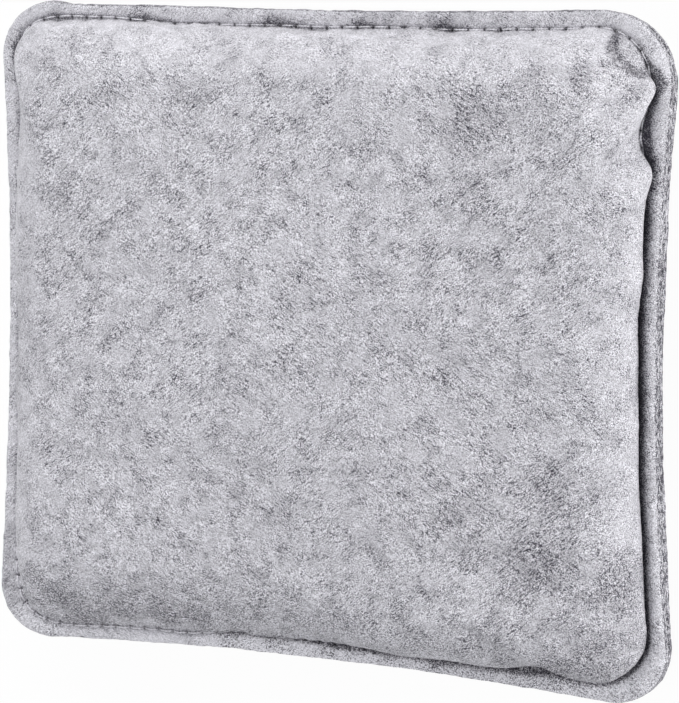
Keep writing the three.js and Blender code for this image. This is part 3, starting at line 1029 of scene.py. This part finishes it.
def thread_material():
    """Pale sewing thread: fine fibres round each strand, a little gloss."""
    graph = new_graph("pale_thread")
    place = graph.node("TexCoord").outputs["Object"]
    fibres = graph.noise(graph.moved(place, 11), 0.12 * MM, 2.0, 0.6)
    soil = graph.noise(graph.moved(place, 12), 7 * MM, 2.0)
    tone = graph.total(graph.times(fibres, 0.6), graph.times(soil, 0.4))
    colour = graph.colours(tone, [(0.25, grey(218, COOL)), (0.5, grey(244, COOL)), (0.8, grey(250, COOL))])
    shader = graph.node("BsdfPrincipled", {
        "Base Color": colour,
        "Roughness": 0.6,
        "Sheen Weight": 0.2,
        "Normal": graph.bumped(fibres, 0.4, 0.05 * MM),
    })
    return graph.finish(shader)


def foam_material():
    """Cream open-cell foam: small dark pores between pale cell walls."""
    graph = new_graph("cream_foam")
    place = graph.node("TexCoord").outputs["Object"]
    cells = graph.node("TexVoronoi", {"Vector": place, "Scale": 1 / (0.9 * MM)}).outputs["Distance"]
    yellowing = graph.noise(graph.moved(place, 13), 30 * MM, 2.0)
    pores = graph.times(graph.ramp(cells, 0.15, 0.6), 0.7)
    tone = graph.total(pores, graph.times(yellowing, 0.3))
    stops = [(0.1, grey(168, (0, -10, -34))), (0.6, grey(226, (2, -4, -20))), (1.0, grey(238, (0, -4, -16)))]
    colour = graph.colours(tone, stops)
    shader = graph.node("BsdfPrincipled", {
        "Base Color": colour,
        "Roughness": 0.9,
        "Normal": graph.bumped(cells, 0.6, 0.3 * MM),
    })
    return graph.finish(shader)


def floor_material():
    """A pale floor that the camera sees as white, with the object's shadow left on it."""
    graph = new_graph("pale_floor")
    share = graph.times(graph.seen(), 0.95)
    paint = graph.node("BsdfDiffuse", {"Color": (0.9, 0.9, 0.9, 1)})
    white = graph.node("Emission", {"Color": (1, 1, 1, 1), "Strength": 1.0})
    mixed = graph.node("MixShader", {0: share, 1: paint.outputs[0], 2: white.outputs[0]})
    return graph.finish(mixed)


# The pieces

felt = felt_material()
thread = thread_material()
front_face = outer_face(1)
back_face = outer_face(-1)
front_cover = felt_cover("front_cover", 1, *front_face, felt)
back_cover = felt_cover("back_cover", -1, *back_face, felt)
foam = foam_slab("foam_slab", front_face[1:], back_face[1:], foam_material())
needle_stitches = twisted_thread("needle_stitches", 1, thread)
bobbin_stitches = twisted_thread("bobbin_stitches", -1, thread)

DRESSED = [
    (front_cover, "front_panel", "felt"),
    (back_cover, "back_panel", "felt"),
    (foam, "foam_core", "foam"),
    (needle_stitches, "needle_thread", "thread"),
    (bobbin_stitches, "bobbin_thread", "thread"),
]
for piece, node, slot in DRESSED:
    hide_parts(node)
    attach(piece, "root")


# The studio: half the floor's width, the even light, and each lamp's name, place, size and power
FLOOR_HALF = 2.0
FILL_STRENGTH = 0.38
LAMPS = (
    ("top", (-0.25, 0.95, 0.45), 0.8, 8.8),
    ("front", (-0.35, -0.20, 0.90), 0.8, 3.9),
    ("side", (1.20, 0.10, 0.13), 0.5, 15),
)


def pale_floor():
    corners = [(FLOOR_HALF * sign_x, FLOOR_HALF * sign_y, 0) for sign_x, sign_y in CORNER_SIGNS]
    mesh = new_mesh("floor", corners, [[0, 1, 2, 3]])
    return new_piece("floor", mesh, floor_material())


def soft_lamp(name, place, size, power):
    """A square lamp that faces the pad."""
    lamp = bpy.data.lights.new(name, "AREA")
    lamp.size = size
    lamp.energy = power
    holder = bpy.data.objects.new(name, lamp)
    holder.location = place
    holder.rotation_mode = "QUATERNION"
    holder.rotation_quaternion = (-Vector(place)).to_track_quat("-Z", "Y")
    bpy.context.scene.collection.objects.link(holder)


def studio_world():
    """Even light that is a little cool, and white behind the object, in reflections of it too."""
    graph = Graph(bpy.data.worlds.new("studio"))
    fill = graph.node("Background", {"Color": (0.93, 0.95, 1.0, 1), "Strength": FILL_STRENGTH})
    white = graph.node("Background", {"Color": (1, 1, 1, 1)})
    mixed = graph.node("MixShader", {0: graph.seen(), 1: fill.outputs[0], 2: white.outputs[0]})
    bpy.context.scene.world = graph.finish(mixed, "OutputWorld")


# The photograph's view: where the camera stands about the middle of the seam plane, and its framing
IMAGE_HEIGHT = 703
FOCAL_PIXELS = 2739
FRAME_LEFT_PIXELS = 14.5
FRAME_UP_PIXELS = 6.9
SENSOR_WIDTH = 36
CAMERA_YAW = math.radians(20)
CAMERA_PITCH = math.radians(9.2)
CAMERA_ROLL = math.radians(0.49)
CAMERA_DISTANCE = 799 * MM


def photo_camera():
    data = bpy.data.cameras.new("camera")
    data.sensor_width = SENSOR_WIDTH
    data.lens = FOCAL_PIXELS / IMAGE_HEIGHT * SENSOR_WIDTH
    data.shift_x = FRAME_LEFT_PIXELS / IMAGE_HEIGHT
    data.shift_y = -FRAME_UP_PIXELS / IMAGE_HEIGHT
    data.clip_start = 10 * MM
    turned = Matrix.Rotation(CAMERA_YAW, 4, "Y") @ Matrix.Rotation(-CAMERA_PITCH, 4, "X")
    turned = turned @ Matrix.Rotation(CAMERA_ROLL, 4, "Z")
    middle = Matrix.Translation((0, 0, SEAM_HEIGHT))
    camera = bpy.data.objects.new("camera", data)
    camera.matrix_world = middle @ turned @ Matrix.Translation((0, 0, CAMERA_DISTANCE))
    bpy.context.scene.collection.objects.link(camera)
    bpy.context.scene.camera = camera


pale_floor()
studio_world()
for lamp in LAMPS:
    soft_lamp(*lamp)
photo_camera()
bpy.context.scene.view_settings.view_transform = "Standard"
